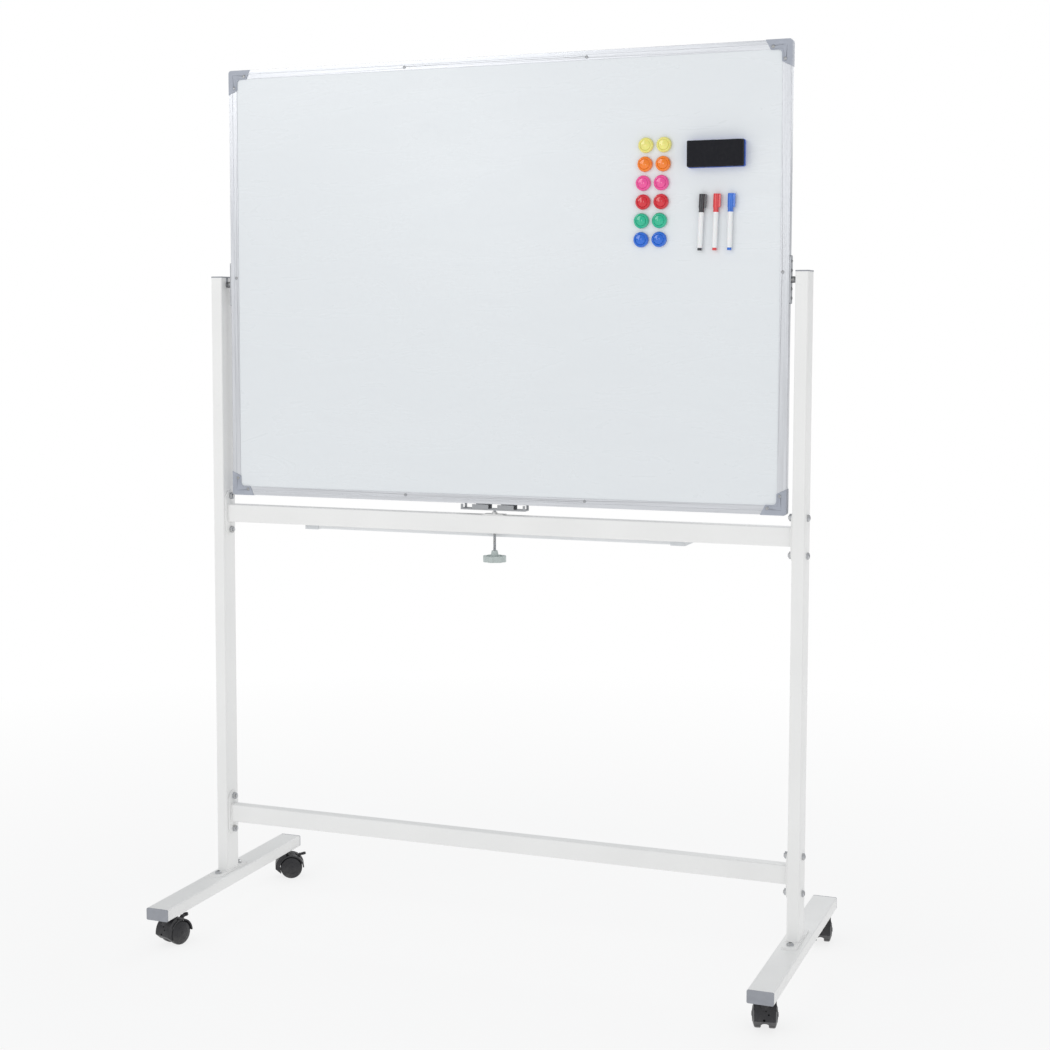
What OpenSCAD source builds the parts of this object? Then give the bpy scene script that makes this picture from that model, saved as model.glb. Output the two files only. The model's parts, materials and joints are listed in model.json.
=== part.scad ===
// Rolling double-sided whiteboard on a tubular stand.
// The board turns end over end on two pivot pins, a screw clamp on the upper crossbar
// locks its lower edge, and the stand rolls on four braked twin-wheel casters.
// Origin: on the floor, under the centre of the board. +X to the right, +Y to the back.

/* [Board] */
// Width of the framed board
board_w = 1200; // [700:10:2400]
// Height of the framed board
board_h = 900; // [500:10:1400]
// Depth of the frame, front to back
board_t = 18; // [14:1:30]
// Width of the frame seen from the front
rail_face = 18; // [14:1:30]
// Width of the frame's raised outer band
rail_band = 8; // [6:1:12]
// Wall of the aluminium frame
rail_wall = 1.2; // [1:0.1:2]
// Step from the raised band down to the inner lip
lip_step = 1; // [0.6:0.1:1.6]
// Thickness of the inner lip
lip_t = 1; // [0.8:0.1:1.4]
// Thickness of each steel writing sheet
sheet_t = 0.4; // [0.3:0.1:1]
// Leg of a plastic corner cap along the outer edge
cap_leg = 50; // [35:1:80]
// How far a corner cap stands proud of the frame
cap_proud = 0.8; // [0.4:0.1:1.5]
// Distance of the frame screws from the board's edge
screw_inset = 12.5; // [9:0.5:15]
// Distance of the rail screws from the board's middle
rail_screw_x = 195; // [80:5:400]

/* [Stand] */
// Height of the pivot pins above the floor
pivot_height = 1372; // [1000:10:1800]
// Gap between the board's edge and a post
side_gap = 15; // [12:1:30]
// Width of a post, seen from the front
post_w = 25; // [20:1:40]
// Depth of a post
post_d = 50; // [30:1:80]
// Wall of the steel tubes
tube_wall = 1.5; // [1:0.1:3]
// Outer corner radius of the steel tubes
tube_r = 3; // [2:0.5:6]
// How far a post reaches above the pivot
post_above = 15; // [12:1:40]
// Length of a foot
foot_len = 600; // [400:10:900]
// Width of a foot
foot_w = 50; // [40:1:80]
// Height of a foot
foot_h = 25; // [20:1:40]
// Height of a crossbar
bar_h = 38; // [25:1:60]
// Depth of a crossbar
bar_d = 25; // [20:1:40]
// Gap between the board's lower edge and the upper crossbar
upper_gap = 22; // [21:1:60]
// Gap between the feet and the lower crossbar
lower_gap = 112; // [60:5:400]

/* [Fixings] */
// Distance between the two bolts at each crossbar end
bar_bolt_pitch = 73; // [60:1:110]
// Diameter of the crossbar bolts
bolt_d = 8; // [6:1:10]
// Diameter of a bolt head
bolt_head_d = 14; // [11:0.5:18]
// Radial clearance of a bolt in its hole
bolt_fit = 0.2; // [0.1:0.05:0.4]
// Thickness of a crossbar end plate
end_plate_t = 3; // [2:0.5:5]
// Width of a crossbar end plate
end_plate_w = 40; // [32:1:48]
// Length of a post's base plate, front to back
base_plate_len = 124; // [100:2:160]
// Width of a post's base plate
base_plate_w = 30; // [27:1:40]
// Thickness of a post's base plate
base_plate_t = 4; // [3:0.5:6]
// Distance between the two bolts of a base plate
base_bolt_pitch = 90; // [80:2:120]

/* [Pivot] */
// Diameter of a pivot pin
pin_d = 8; // [6:0.5:12]
// Radial running clearance of a pin in its slot
pin_fit = 0.08; // [0.04:0.01:0.1]
// Length of a pivot plate
pivot_plate_len = 92; // [70:2:140]
// Width of a pivot plate
pivot_plate_w = 16; // [12:1:18]
// Thickness of a pivot plate
pivot_plate_t = 3; // [2:0.5:4]

/* [Clamp] */
// Length of the clamp channel
clamp_len = 140; // [80:2:220]
// Height of the clamp's flanges above its web
clamp_flange_h = 8.5; // [6:0.5:9]
// Thickness of the clamp's flanges
clamp_flange_t = 2; // [1.5:0.5:3]
// Thickness of the clamp's web
clamp_web_t = 3; // [3:0.5:4]
// Side clearance of the board's edge in the clamp
clamp_side_fit = 0.8; // [0.4:0.1:1.5]
// Width of a notch in the clamp's flanges
notch_w = 20; // [10:1:30]
// Distance between the notches
notch_pitch = 55; // [25:1:70]
// Diameter of the clamp screw
screw_d = 6; // [6:1:8]
// Diameter of the knob
knob_d = 48; // [36:1:60]
// Height of the knob's rim
knob_rim_h = 12; // [8:1:16]
// Height of the knob's hub
knob_hub_h = 23; // [18:1:30]
// Distance from the upper crossbar down to the lowered knob
knob_drop = 36; // [20:1:60]

/* [Pen tray] */
// Length of the tray
tray_len = 830; // [300:10:1100]
// Shift of the tray's middle from the board's middle
tray_x = -20; // [-60:5:60]
// Depth of the tray's trough, front to back
tray_depth = 62; // [40:1:90]
// Wall of the tray
tray_wall = 1.5; // [1:0.1:2.5]
// How far the tray hangs below the crossbar
tray_drop = 9; // [5:1:14]
// Height of the tray's rear lip
tray_lip = 14; // [8:1:24]
// Length of a tray end cap
tray_cap_len = 28; // [12:1:40]

/* [Casters] */
// Height from the floor to the underside of a foot
caster_h = 64; // [62:1:80]
// Diameter of a caster wheel
wheel_d = 50; // [46:1:54]
// Width of one wheel, from its inner face to the crown of its dome
wheel_w = 17; // [14:0.2:19]
// Height of the dome on a wheel's outer face
wheel_dome = 4.4; // [1:0.2:6]
// Gap between the two wheels of a caster
wheel_gap = 14.5; // [14:0.5:18]
// Diameter of a caster axle
axle_d = 8; // [6:0.5:10]
// Offset of the axle behind the swivel stem
caster_trail = 20; // [16:1:22]
// Diameter of the swivel stem
stem_d = 11; // [9:0.5:12]
// Radial running clearance of stems and axles
run_fit = 0.05; // [0.02:0.01:0.1]
// Distance of a swivel stem from the end of its foot
stem_inset = 40; // [36:1:80]
// Side clearance between moving caster parts
caster_gap = 1.25; // [0.8:0.05:1.5]

/* [Accessories] */
// Diameter of a board magnet
magnet_d = 30; // [15:1:40]
// Height of a board magnet
magnet_h = 8; // [5:0.5:12]
// Distance between the magnet rows and between the columns
magnet_pitch = 36.4; // [32:0.2:50]
// Length of the eraser
eraser_l = 110; // [80:1:140]
// Height of the eraser on the board
eraser_h = 51; // [40:1:60]
// Thickness of the eraser's plastic back
eraser_back_t = 9; // [6:1:14]
// Thickness of the eraser's felt pad
eraser_felt_t = 14; // [8:1:20]
// Diameter of a marker's barrel
marker_d = 10; // [8:0.5:14]
// Length of a marker from cap to end plug
marker_l = 108; // [90:1:140]
// Distance between the markers
marker_pitch = 28; // [20:1:40]

/* [Hidden] */

$fn = 48;

// Directions of the two sides, left then right
SIDES = [-1, 1];
// Board edges and thickness layers
half_w = board_w / 2;
half_h = board_h / 2;
half_t = board_t / 2;
board_top = pivot_height + half_h;
board_bottom = pivot_height - half_h;
lip_y = half_t - lip_step;
sheet_y = lip_y - lip_t;
core_t = 2 * (sheet_y - sheet_t);
edge_play = 0.5;
panel_w = board_w - 2 * (rail_band + edge_play);
panel_h = board_h - 2 * (rail_band + edge_play);
cap_slant = rail_face / 2;
cap_inner_r = 8;
cap_outer_r = 6;
tongue_len = 14;
frame_screw_d = 5;
frame_screw_head = 6.4;
frame_screw_h = 1.4;

// Stand levels
foot_top = caster_h + foot_h;
post_x = half_w + side_gap + post_w / 2;
post_inner = post_x - post_w / 2;
post_bottom = foot_top + base_plate_t;
post_top = pivot_height + post_above;
cap_head = 2.5;
plug_play = 0.2;
upper_bar_top = board_bottom - upper_gap;
upper_bar_z = upper_bar_top - bar_h / 2;
lower_bar_z = foot_top + lower_gap + bar_h / 2;
bar_len = 2 * (post_inner - end_plate_t);
end_plate_len = bar_bolt_pitch + 24;
bolt_head_h = 5;
nut_d = 13;
nut_h = 6.5;
bolt_tip = 2;
washer_t = 1.5;
weld_nut_d = 16;
weld_nut_h = 7;
thread_fit = 0.05;

// Pivot
pin_head_d = 14;
pin_head_t = 4;
pin_play = 1.2;
pin_collar_d = 13;
pin_collar_t = 3;
washer_d = 13;
plate_screw_pitch = 11;
plate_screw_head = 7;

// Clamp, drawn lowered and clear of the turning board
clamp_clear = 1.2;
clamp_seat = 0.3;
clamp_web_top = board_bottom - clamp_clear - clamp_flange_h;
clamp_web_bottom = clamp_web_top - clamp_web_t;
clamp_half = half_t + clamp_side_fit + clamp_flange_t;
rivet_d = 8.4;
rivet_h = 1.2;
rivet_pocket_h = 1.6;
rivet_pocket_fit = 0.5;
neck_d = 4;
neck_play = 0.1;
shoulder_play = 0.3;
bush_plate_l = 44;
bush_plate_w = 22;
bush_plate_t = 1.5;
bush_nut_d = 12;
bush_nut_h = 4;
bush_d = 10;
screw_fit = 0.05;
knob_top = upper_bar_top - bar_h - knob_drop;
knob_bottom = knob_top - knob_hub_h;
knob_lobes = 8;
knob_spokes = 5;
rim_wall = 7;

// Tray
tray_front = bar_d / 2;
tray_bottom = upper_bar_top - bar_h - tray_drop;
tray_flange_top = upper_bar_z + bar_h / 4;
tray_cap_wall = 1.8;
tray_screw_pitch = tray_len / 2 - 55;

// Casters: side, end and angle turned from straight, in the order of the names
CASTERS = [[-1, -1, -19], [-1, 1, -62], [1, -1, 13], [1, 1, 11]];
wheel_r = wheel_d / 2;
stem_y = foot_len / 2 - stem_inset;
hood_top = caster_h - 2.5;
fender_gap = 1.5;
fender_in = wheel_r + fender_gap;
fender_out = fender_in + 3;
housing_out = caster_trail + 17;
housing_w = 39;
fender_w = wheel_gap + 2 * (wheel_w - wheel_dome) + 2;
web_w = wheel_gap - 2 * caster_gap;
stem_depth = 16;
stem_boss_d = 24;
collar_d = 17;
stem_thread_d = 10;
lug_y = caster_trail + 10;
lug_z = wheel_r + 17;
lug_w = 6;
brake_pin_d = 4;
fork_gap = 0.4;
tail_w = 8;
arm_t = 5.2;
arm_l = 5.7;
tail_bend = 14;
tail_rise = 46;
tail_tip = 9;
tip_rise = 12;

// Accessories, on the front sheet's face
front_face = -sheet_y;
magnet_x = 315;
magnet_z = pivot_height + 262;
MAGNET_SHIFT = [2, 0.5, -2.7, -3, -6, -6.5];
eraser_x = 458;
eraser_z = pivot_height + 241;
marker_x = 431;
marker_top = pivot_height + 165;
MARKER_LEAN = [2.4, 1.8, 1.2];
marker_cap_d = 12;
marker_cap_l = 26;
marker_skirt_l = 9;
marker_plug_l = 5;
marker_clip = 3.6;

// ---------- shared shapes ----------

// Rectangle with round corners, centred
module rounded(w, h, r) {
    square([w - 2 * r, h], center = true);
    square([w, h - 2 * r], center = true);
    for (x = SIDES)
        for (y = SIDES)
            translate([x * (w / 2 - r), y * (h / 2 - r)])
                circle(r = r);
}

// Section of a steel tube
module tube_section(w, h) {
    difference() {
        rounded(w, h, tube_r);
        rounded(w - 2 * tube_wall, h - 2 * tube_wall, tube_r - tube_wall);
    }
}

// Sweeps a Y-Z outline along X, centred
module along_x(len) {
    rotate([90, 0, 90])
        linear_extrude(len, center = true)
            children();
}

// Cylinder along X, centred
module rod_x(d, len) {
    rotate([0, 90, 0])
        cylinder(d = d, h = len, center = true);
}

// Cylinder along Y, centred
module rod_y(d, len) {
    rotate([90, 0, 0])
        cylinder(d = d, h = len, center = true);
}

// Bolt pointing along -Z with its low domed head standing on z = 0
module bolt(len, d, head_d, head_h) {
    difference() {
        union() {
            cylinder(d = head_d, h = head_h * 0.6);
            translate([0, 0, head_h * 0.6])
                cylinder(d1 = head_d, d2 = head_d * 0.62, h = head_h * 0.4, $fn = 48);
        }
        translate([0, 0, head_h * 0.45])
            cylinder(d = head_d * 0.42, h = head_h, $fn = 6);
    }
    translate([0, 0, -len])
        cylinder(d = d, h = len);
}

// ---------- stand ----------

module foot(side) {
    color("white")
        translate([side * post_x, 0, caster_h + foot_h / 2])
            difference() {
                union() {
                    rotate([90, 0, 0])
                        linear_extrude(foot_len, center = true)
                            tube_section(foot_w, foot_h);
                    for (end = SIDES) {
                        // weld nut of a caster stem
                        translate([0, end * stem_y, -foot_h / 2 + tube_wall])
                            cylinder(d = weld_nut_d, h = weld_nut_h);
                        // weld nut of a base bolt
                        translate([0, end * base_bolt_pitch / 2,
                                foot_h / 2 - tube_wall - weld_nut_h])
                            cylinder(d = weld_nut_d, h = weld_nut_h);
                    }
                }
                for (end = SIDES) {
                    translate([0, end * stem_y, -foot_h / 2 - 1])
                        cylinder(d = stem_thread_d + 2 * thread_fit, h = tube_wall + weld_nut_h + 2);
                    translate([0, end * base_bolt_pitch / 2,
                            foot_h / 2 - tube_wall - weld_nut_h - 1])
                        cylinder(d = bolt_d + 2 * thread_fit, h = tube_wall + weld_nut_h + 2);
                }
            }
}

module foot_end_caps() {
    plug = 14;
    color("darkgray")
        for (side = SIDES)
            for (end = SIDES)
                translate([side * post_x, end * foot_len / 2, caster_h + foot_h / 2])
                    rotate([90, 0, 0]) {
                        translate([0, 0, -end * cap_head / 2])
                            linear_extrude(cap_head, center = true)
                                rounded(foot_w, foot_h, tube_r);
                        translate([0, 0, end * plug / 2])
                            linear_extrude(plug, center = true)
                                difference() {
                                    rounded(foot_w - 2 * tube_wall - 2 * plug_play,
                                        foot_h - 2 * tube_wall - 2 * plug_play, tube_r - tube_wall);
                                    square([foot_w - 12, foot_h - 10], center = true);
                                }
                    }
}

// Post, with an open slot in its inner wall that carries the pivot pin
module post(side) {
    slot_r = pin_d / 2 + pin_fit;
    slot_depth = tube_wall + 2;
    color("white")
        difference() {
            translate([side * post_x, 0, post_bottom])
                linear_extrude(post_top - post_bottom)
                    tube_section(post_w, post_d);
            translate([side * (post_inner + tube_wall / 2), 0, pivot_height]) {
                rod_x(2 * slot_r, slot_depth);
                translate([-slot_depth / 2, -slot_r, 0])
                    cube([slot_depth, 2 * slot_r, post_above + 1]);
            }
            for (z = [upper_bar_z, lower_bar_z])
                for (end = SIDES)
                    translate([side * post_x, 0, z + end * bar_bolt_pitch / 2])
                        rod_x(bolt_d + 2 * bolt_fit, post_w + 2);
        }
}

module post_base_plates() {
    color("white")
        for (side = SIDES)
            translate([side * post_x, 0, foot_top])
                difference() {
                    linear_extrude(base_plate_t)
                        rounded(base_plate_w, base_plate_len, 5);
                    for (end = SIDES)
                        translate([0, end * base_bolt_pitch / 2, -1])
                            cylinder(d = bolt_d + 2 * bolt_fit, h = base_plate_t + 2);
                }
}

module base_bolts() {
    color("lightgray")
        for (side = SIDES)
            for (end = SIDES)
                translate([side * post_x, end * base_bolt_pitch / 2,
                        foot_top + base_plate_t])
                    bolt(base_plate_t + tube_wall + weld_nut_h, bolt_d,
                        bolt_head_d, bolt_head_h);
}

module post_top_caps() {
    skirt = post_above - pin_d / 2 - 1.5;
    wall = 1.5;
    color("gray")
        for (side = SIDES)
            translate([side * post_x, 0, post_top]) {
                linear_extrude(cap_head)
                    rounded(post_w + 1, post_d + 1, tube_r + 0.5);
                translate([0, 0, -5])
                    linear_extrude(5)
                        difference() {
                            rounded(post_w - 2 * tube_wall - 2 * plug_play,
                                post_d - 2 * tube_wall - 2 * plug_play, tube_r - tube_wall);
                            square([post_w - 2 * tube_wall - 2 * wall,
                                post_d - 2 * tube_wall - 2 * wall], center = true);
                        }
                // tab that closes the slot above the pin
                translate([-side * (post_w / 2 - tube_wall / 2), 0, -skirt / 2])
                    cube([tube_wall, pin_d - 0.4, skirt], center = true);
            }
}

module crossbar(z) {
    translate([0, 0, z])
        along_x(bar_len)
            tube_section(bar_d, bar_h);
}

module upper_crossbar() {
    bush_hole = bush_d + 0.2;
    color("white")
        difference() {
            crossbar(upper_bar_z);
            translate([0, 0, upper_bar_top - bar_h - 1])
                cylinder(d = bush_hole, h = bar_h + 2);
            for (i = [-1:1])
                translate([tray_x + i * tray_screw_pitch, bar_d / 2, upper_bar_z])
                    rod_y(4, 2 * tube_wall + 2);
        }
}

module lower_crossbar() {
    color("white")
        crossbar(lower_bar_z);
}

module crossbar_end_plates() {
    color("white")
        for (side = SIDES)
            for (z = [upper_bar_z, lower_bar_z])
                translate([side * (post_inner - end_plate_t / 2), 0, z])
                    difference() {
                        along_x(end_plate_t)
                            rounded(end_plate_w, end_plate_len, end_plate_w / 2 - 0.1);
                        for (end = SIDES)
                            translate([0, 0, end * bar_bolt_pitch / 2])
                                rod_x(bolt_d + 2 * bolt_fit, end_plate_t + 2);
                    }
}

module crossbar_bolts() {
    len = post_w + end_plate_t + nut_h + bolt_tip;
    color("lightgray")
        for (side = SIDES)
            for (z = [upper_bar_z, lower_bar_z])
                for (end = SIDES)
                    translate([side * (post_x + post_w / 2), 0, z + end * bar_bolt_pitch / 2])
                        rotate([0, side * 90, 0])
                            bolt(len, bolt_d, bolt_head_d, bolt_head_h);
}

module crossbar_nuts() {
    color("lightgray")
        for (side = SIDES)
            for (z = [upper_bar_z, lower_bar_z])
                for (end = SIDES)
                    translate([side * (post_inner - end_plate_t), 0,
                            z + end * bar_bolt_pitch / 2])
                        rotate([0, -side * 90, 0])
                            difference() {
                                cylinder(d = nut_d / cos(30), h = nut_h, $fn = 6);
                                translate([0, 0, -1])
                                    cylinder(d = bolt_d + 2 * thread_fit, h = nut_h + 2);
                            }
}

// ---------- pen tray ----------

// Outline of the tray in the Y-Z plane: flange, trough and rear lip
module tray_section(grow) {
    depth = tray_depth;
    rise = tray_flange_top - tray_bottom;
    difference() {
        translate([-grow, -grow])
            square([depth + 2 * grow, rise + grow]);
        translate([tray_wall + grow, tray_wall + grow])
            square([depth - 2 * tray_wall - 2 * grow, rise + 1]);
        translate([tray_wall + grow, tray_lip + grow])
            square([depth + 1, rise + 1]);
    }
}

module tray() {
    color("whitesmoke")
        translate([tray_x, tray_front, tray_bottom])
            difference() {
                along_x(tray_len)
                    tray_section(0);
                for (i = [-1:1])
                    translate([i * tray_screw_pitch, 0, upper_bar_z - tray_bottom])
                        rod_y(4.2, 4 * tray_wall);
            }
}

// Sleeves that close the ends of the tray
module tray_end_caps() {
    below = tray_cap_wall;
    rise = tray_lip + 2;
    color("lightgray")
        for (side = SIDES)
            translate([tray_x + side * tray_len / 2, tray_front, tray_bottom]) {
                // end wall
                translate([side * tray_cap_wall / 2, 0, 0])
                    along_x(tray_cap_wall) {
                        translate([0, -below])
                            square([tray_depth + below, rise + below]);
                        translate([-below, -below])
                            square([below, tray_drop - 0.5 + below]);
                    }
                // sleeve under and behind the trough
                translate([-side * tray_cap_len / 2, 0, 0])
                    along_x(tray_cap_len) {
                        translate([-below, -below])
                            square([tray_depth + 2 * below, below]);
                        translate([tray_depth, -below])
                            square([below, rise + below]);
                        translate([-below, -below])
                            square([below, tray_drop - 0.5 + below]);
                    }
            }
}

module tray_screws() {
    color("silver")
        for (i = [-1:1])
            translate([tray_x + i * tray_screw_pitch, tray_front + tray_wall, upper_bar_z])
                rotate([-90, 0, 0])
                    bolt(8, 4, 8, 2.4);
}

// ---------- board ----------

module sheet(dir) {
    translate([0, dir * (sheet_y - sheet_t / 2), pivot_height])
        rotate([90, 0, 0])
            linear_extrude(sheet_t, center = true)
                rounded(panel_w, panel_h, 3);
}

module front_sheet() {
    color("aliceblue")
        sheet(-1);
}

module back_sheet() {
    color("aliceblue")
        sheet(1);
}

module board_core() {
    color("burlywood")
        translate([0, 0, pivot_height])
            cube([panel_w, core_t, panel_h], center = true);
}

// Rail section: u runs from the board's edge towards its middle, v front to back
module rail_section() {
    difference() {
        translate([0, -half_t])
            square([rail_band, board_t]);
        translate([rail_wall, -half_t + rail_wall])
            square([rail_band - 2 * rail_wall, board_t - 2 * rail_wall]);
    }
    for (dir = SIDES)
        translate([rail_band - 0.5, dir > 0 ? sheet_y : -lip_y])
            square([rail_face - rail_band + 0.5, lip_t]);
}

// L-shaped outline of a corner cap, its corner at the origin, in the board's plane
module corner_outline(extra) {
    // the slanted ends keep to one line, whatever the extra
    shift = extra * cap_slant / rail_face;
    outer = cap_leg + shift;
    inner = cap_leg - cap_slant - shift;
    difference() {
        union() {
            polygon([
                [-extra, -extra], [outer, -extra],
                [inner, rail_face + extra],
                [rail_face + extra, rail_face + extra],
                [rail_face + extra, inner],
                [-extra, outer]]);
            translate([rail_face + extra, rail_face + extra])
                square(cap_inner_r);
        }
        translate([rail_face + extra + cap_inner_r, rail_face + extra + cap_inner_r])
            circle(r = cap_inner_r);
        // rounded outer corner
        difference() {
            translate([-extra - 1, -extra - 1])
                square(cap_outer_r + 1);
            translate([cap_outer_r - extra, cap_outer_r - extra])
                circle(r = cap_outer_r);
        }
    }
}

// Places its children at each board corner, x and y running along the two edges
module at_corners() {
    for (sx = SIDES)
        for (sz = SIDES)
            translate([sx * half_w, 0, pivot_height + sz * half_h])
                rotate([90, 0, 0])
                    mirror([sx > 0 ? 1 : 0, 0, 0])
                        mirror([0, sz > 0 ? 1 : 0, 0])
                            children();
}

module corner_blocks() {
    at_corners()
        linear_extrude(board_t + 8, center = true) {
            corner_outline(0);
            translate([-1, -1])
                square(cap_outer_r + 2);
        }
}

// Clearance holes of the frame screws, front and back
module screw_bores() {
    for (p = FRAME_SCREWS)
        translate([p[0], 0, pivot_height + p[1]])
            rod_y(2.6, board_t + 8);
}

FRAME_SCREWS = concat(
    [for (sx = SIDES) for (sz = SIDES)
        [sx * (half_w - 36), sz * (half_h - screw_inset)]],
    [for (sx = SIDES) for (sz = SIDES)
        [sx * (half_w - screw_inset), sz * (half_h - 36)]],
    [for (sx = SIDES) for (sz = SIDES)
        [sx * rail_screw_x, sz * (half_h - screw_inset)]],
    [for (sx = SIDES) [sx * (half_w - screw_inset), 14]]);

module top_rail() {
    color("gainsboro")
        rail_along_x(1);
}

module bottom_rail() {
    color("gainsboro")
        rail_along_x(-1);
}

module rail_along_x(dir) {
    difference() {
        translate([0, 0, pivot_height + dir * half_h])
            rotate([90, 0, 90])
                linear_extrude(board_w, center = true)
                    rotate([0, 0, -dir * 90])
                        rail_section();
        corner_blocks();
        screw_bores();
    }
}

module side_rails() {
    color("gainsboro")
        for (side = SIDES)
            difference() {
                translate([side * half_w, 0, pivot_height])
                    linear_extrude(board_h, center = true)
                        mirror([side > 0 ? 1 : 0, 0, 0])
                            rail_section();
                corner_blocks();
                screw_bores();
                // holes of the pivot plate's screws
                for (i = PLATE_SCREWS)
                    translate([side * half_w, 0, pivot_height + i])
                        rod_x(3, 4 * rail_wall);
            }
}

// Plastic corner caps with tongues that plug into the rails
module corner_caps() {
    inner_w = rail_band - 2 * rail_wall - 0.2;
    inner_t = board_t - 2 * rail_wall - 0.2;
    recess = cap_leg - cap_slant - rail_band - 1.5;
    color("lightsteelblue")
        difference() {
            at_corners() {
                difference() {
                    linear_extrude(board_t + 2 * cap_proud, center = true)
                        corner_outline(cap_proud);
                    // room for the panel
                    translate([rail_band, rail_band, -sheet_y])
                        cube([cap_leg, cap_leg, 2 * sheet_y]);
                    // recess with a ridge around it on both faces
                    for (dir = SIDES)
                        translate([rail_band + 1, rail_band + 1,
                                dir * (half_t + cap_proud) - 0.5])
                            linear_extrude(1) {
                                square([recess, rail_face - rail_band - 2]);
                                square([rail_face - rail_band - 2, recess]);
                            }
                }
                translate([cap_leg - cap_slant, rail_wall + 0.1, -inner_t / 2])
                    cube([cap_slant + tongue_len, inner_w, inner_t]);
                translate([rail_wall + 0.1, cap_leg - cap_slant, -inner_t / 2])
                    cube([inner_w, cap_slant + tongue_len, inner_t]);
            }
            screw_bores();
        }
}

module frame_screws() {
    color("silver")
        for (i = [0:len(FRAME_SCREWS) - 1])
            for (dir = SIDES) {
                seat = i < 8 ? half_t + cap_proud - 0.5 : lip_y;
                translate([FRAME_SCREWS[i][0], dir * seat, pivot_height + FRAME_SCREWS[i][1]])
                    rotate([-dir * 90, 0, 0])
                        difference() {
                            union() {
                                cylinder(d = frame_screw_head, h = frame_screw_h * 0.5);
                                translate([0, 0, frame_screw_h * 0.5])
                                    cylinder(d1 = frame_screw_head, d2 = frame_screw_head * 0.6,
                                        h = frame_screw_h * 0.5);
                                translate([0, 0, -lip_t])
                                    cylinder(d = 2.5, h = lip_t);
                            }
                            translate([0, 0, frame_screw_h])
                                cube([3.4, 0.8, 1.2], center = true);
                            translate([0, 0, frame_screw_h])
                                cube([0.8, 3.4, 1.2], center = true);
                        }
            }
}

// ---------- pivot ----------

PLATE_SCREWS = [for (s = SIDES) for (k = [1.6, 3.2]) s * k * plate_screw_pitch];

module pivot_plates() {
    color("silver")
        for (side = SIDES)
            translate([side * (half_w + pivot_plate_t / 2), 0, pivot_height])
                difference() {
                    along_x(pivot_plate_t)
                        rounded(pivot_plate_w, pivot_plate_len, 4);
                    rod_x(pin_d, pivot_plate_t + 2);
                    for (i = PLATE_SCREWS)
                        translate([0, 0, i])
                            rod_x(3.2, pivot_plate_t + 2);
                }
}

module pivot_plate_screws() {
    color("silver")
        for (side = SIDES)
            for (i = PLATE_SCREWS)
                translate([side * (half_w + pivot_plate_t), 0, pivot_height + i])
                    rotate([0, side * 90, 0])
                        bolt(pivot_plate_t + rail_wall, 3, plate_screw_head, 1.8);
}

// Pins: riveted in the plate, turning in the post's slot, headed inside the post
module pivot_pins() {
    head_x = post_inner + tube_wall + pin_play;
    pivot_washers();
    color("gray")
        for (side = SIDES)
            translate([0, 0, pivot_height]) {
                translate([side * (half_w + head_x + pin_head_t) / 2, 0, 0])
                    rod_x(pin_d, head_x + pin_head_t - half_w);
                translate([side * (half_w + pivot_plate_t + pin_collar_t / 2), 0, 0])
                    rod_x(pin_collar_d, pin_collar_t);
                translate([side * (head_x + pin_head_t / 2), 0, 0])
                    rod_x(pin_head_d, pin_head_t);
            }
}

// Nylon washers that fill the gap between collar and post
module pivot_washers() {
    start = half_w + pivot_plate_t + pin_collar_t + 0.3;
    stop = post_inner - 0.3;
    color("dimgray")
        for (side = SIDES)
            translate([side * (start + stop) / 2, 0, pivot_height])
                difference() {
                    rod_x(washer_d, stop - start);
                    rod_x(pin_d + 0.1, stop);
                    rotate([0, 90, 0])
                        difference() {
                            cylinder(d = washer_d + 1, h = (stop - start) / 4, center = true);
                            cylinder(d = pin_d + 2, h = stop, center = true);
                        }
                }
}

// ---------- clamp ----------

module clamp_channel() {
    color("dimgray")
        difference() {
            translate([0, 0, clamp_web_bottom])
                along_x(clamp_len)
                    difference() {
                        translate([-clamp_half, 0])
                            square([2 * clamp_half, clamp_web_t + clamp_flange_h]);
                        translate([-clamp_half + clamp_flange_t, clamp_web_t])
                            square([2 * (clamp_half - clamp_flange_t), clamp_flange_h + 1]);
                    }
            for (i = [-1:1])
                translate([i * notch_pitch, 0, clamp_web_top + clamp_flange_h / 2 + 0.5])
                    cube([notch_w, 3 * clamp_half, clamp_flange_h + 1], center = true);
            // pocket and hole of the riveted screw end
            translate([0, 0, clamp_web_top - rivet_pocket_h])
                cylinder(d = rivet_d + 2 * rivet_pocket_fit, h = rivet_pocket_h + 1);
            translate([0, 0, clamp_web_bottom - 1])
                cylinder(d = neck_d + 2 * neck_play, h = clamp_web_t + 2);
        }
}

// Screw with its riveted top end
module clamp_screw() {
    shoulder = clamp_web_bottom - shoulder_play;
    rivet_z = clamp_web_top - rivet_pocket_h + 0.2;
    color("silver") {
        translate([0, 0, knob_bottom + 2])
            cylinder(d = screw_d, h = shoulder - knob_bottom - 2);
        translate([0, 0, shoulder - 1])
            cylinder(d = neck_d, h = rivet_z - shoulder + 1 + rivet_h / 2);
        translate([0, 0, rivet_z])
            cylinder(d = rivet_d, h = rivet_h);
    }
}

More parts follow.
